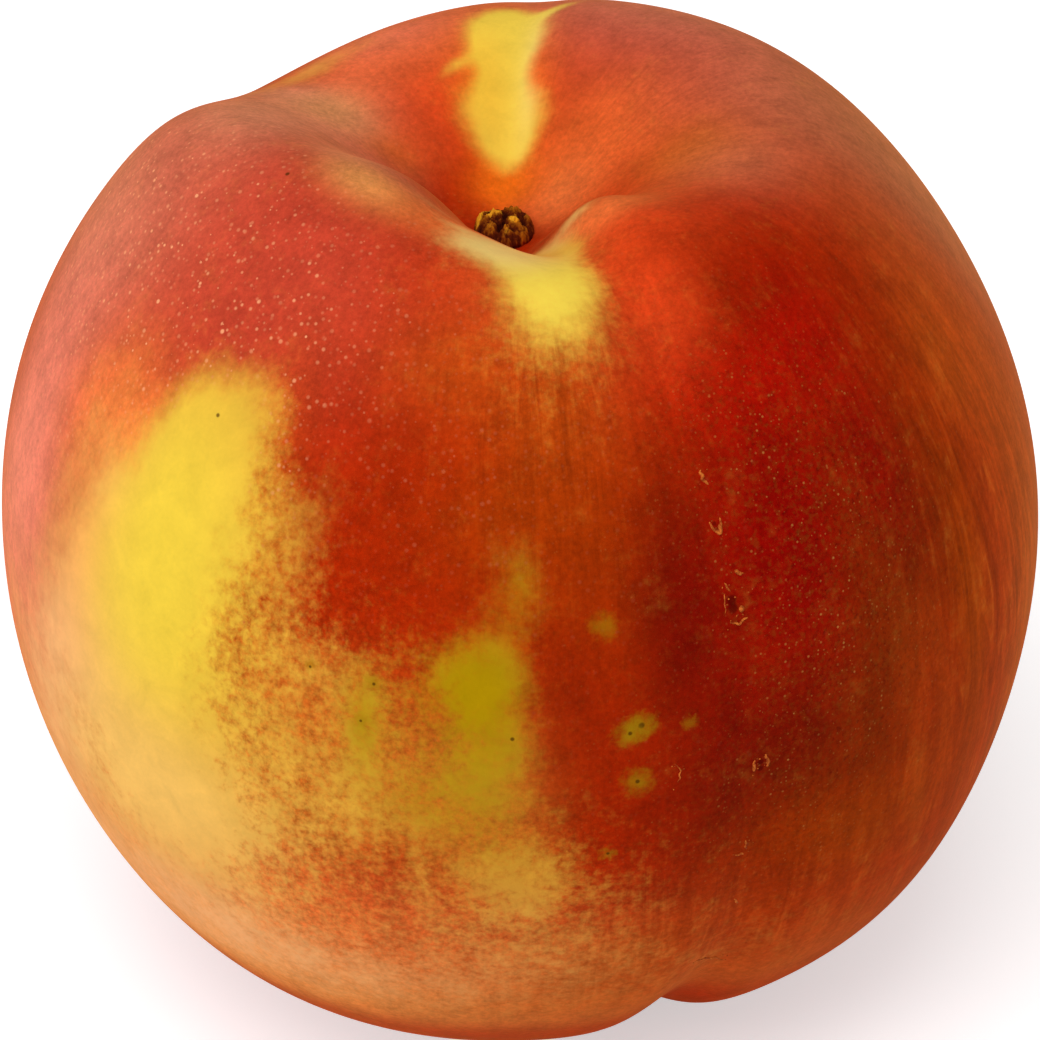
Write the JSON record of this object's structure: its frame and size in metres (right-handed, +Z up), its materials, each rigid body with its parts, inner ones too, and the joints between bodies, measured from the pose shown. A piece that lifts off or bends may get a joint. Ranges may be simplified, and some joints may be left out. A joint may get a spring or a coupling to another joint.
{
  "type": "peach",
  "caption": "Whole ripe peach with a downy skin, a deep stem cavity holding a woody scar, a suture down its side and a small flat spot that it rests on.",
  "frame": {"origin": "on the surface that the fruit rests on, below the middle of its bounding box", "axes": "+Z up along the stem axis with the stem end on top, +X towards the fuller cheek, -Y towards the cheek that the suture runs down"},
  "size_m": [0.0736, 0.0738, 0.07],
  "materials": {
    "skin": "downy fruit skin: a soft matt surface with a faint velvet bloom, red over yellow",
    "scar_wood": "dry torn wood, dark brown with golden fibres"
  },
  "bodies": {
    "root": {"peach_fruit": "skin", "stem_scar": "scar_wood"}
  },
  "joints": []
}
